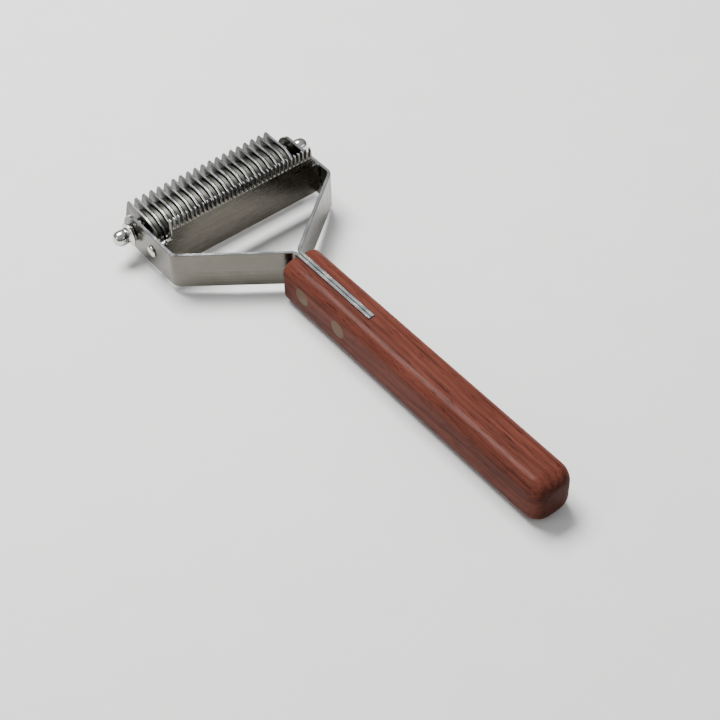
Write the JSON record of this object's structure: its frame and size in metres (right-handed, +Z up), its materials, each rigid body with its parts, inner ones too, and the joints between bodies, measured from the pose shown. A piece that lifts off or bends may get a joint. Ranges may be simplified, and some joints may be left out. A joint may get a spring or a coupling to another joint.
{
  "type": "dematting comb",
  "caption": "Pet grooming comb: a wooden handle, a forked steel head holding a stack of hooked blades on an axle, and a fine-toothed comb plate across the fork.",
  "frame": {"origin": "under the middle of the whole comb's box, on the surface it lies on", "axes": "+X along the blade axle, +Y from the handle to the blades, +Z up from the surface, out of the handle's slotted top"},
  "size_m": [0.0728, 0.1673, 0.0238],
  "materials": {
    "satin_steel": "satin brushed stainless strip and plate",
    "blade_steel": "ground stainless blades and spacers, bright edges",
    "plated_steel": "polished bright plating",
    "rivet_metal": "dull brownish rivet ends ground flush with the wood",
    "red_wood": "reddish brown hardwood, semi-gloss oil or lacquer"
  },
  "bodies": {
    "root": {"handle": "red_wood", "left_fork_arm": "satin_steel", "right_fork_arm": "satin_steel", "front_rivet": "rivet_metal", "rear_rivet": "rivet_metal", "axle_rod": "plated_steel", "cross_rod": "satin_steel", "comb_plate": "satin_steel", "left_end_spacer": "blade_steel", "right_end_spacer": "blade_steel", "blade_01": "blade_steel", "blade_02": "blade_steel", "blade_03": "blade_steel", "blade_04": "blade_steel", "blade_05": "blade_steel", "blade_06": "blade_steel", "blade_07": "blade_steel", "blade_08": "blade_steel", "blade_09": "blade_steel", "blade_10": "blade_steel", "blade_11": "blade_steel", "blade_12": "blade_steel", "blade_13": "blade_steel", "blade_14": "blade_steel", "blade_15": "blade_steel", "blade_16": "blade_steel", "blade_17": "blade_steel", "blade_18": "blade_steel", "blade_19": "blade_steel", "blade_20": "blade_steel", "spacer_01": "blade_steel", "spacer_02": "blade_steel", "spacer_03": "blade_steel", "spacer_04": "blade_steel", "spacer_05": "blade_steel", "spacer_06": "blade_steel", "spacer_07": "blade_steel", "spacer_08": "blade_steel", "spacer_09": "blade_steel", "spacer_10": "blade_steel", "spacer_11": "blade_steel", "spacer_12": "blade_steel", "spacer_13": "blade_steel", "spacer_14": "blade_steel", "spacer_15": "blade_steel", "spacer_16": "blade_steel", "spacer_17": "blade_steel", "spacer_18": "blade_steel", "spacer_19": "blade_steel"},
    "left_washer_body": {"left_washer": "plated_steel"},
    "left_nut_body": {"left_acorn_nut": "plated_steel"},
    "right_washer_body": {"right_washer": "plated_steel"},
    "right_nut_body": {"right_acorn_nut": "plated_steel"}
  },
  "joints": [
    {"name": "left_nut_travel", "type": "slide", "parent": "root", "child": "left_washer_body", "axis": [-1, 0, 0], "range_m": [0, 0.004]},
    {"name": "left_nut_spin", "type": "hinge", "parent": "left_washer_body", "child": "left_nut_body", "pos_m": [0, 0.0717, 0.0092], "axis": [-1, 0, 0], "range_deg": [0, 2880]},
    {"name": "right_nut_travel", "type": "slide", "parent": "root", "child": "right_washer_body", "axis": [1, 0, 0], "range_m": [0, 0.004]},
    {"name": "right_nut_spin", "type": "hinge", "parent": "right_washer_body", "child": "right_nut_body", "pos_m": [0, 0.0717, 0.0092], "axis": [1, 0, 0], "range_deg": [0, 2880]}
  ],
  "couplings": [
    {"joint": "left_nut_spin", "follows": "left_nut_travel", "rad_per_m": 12566},
    {"joint": "right_nut_spin", "follows": "right_nut_travel", "rad_per_m": 12566}
  ]
}
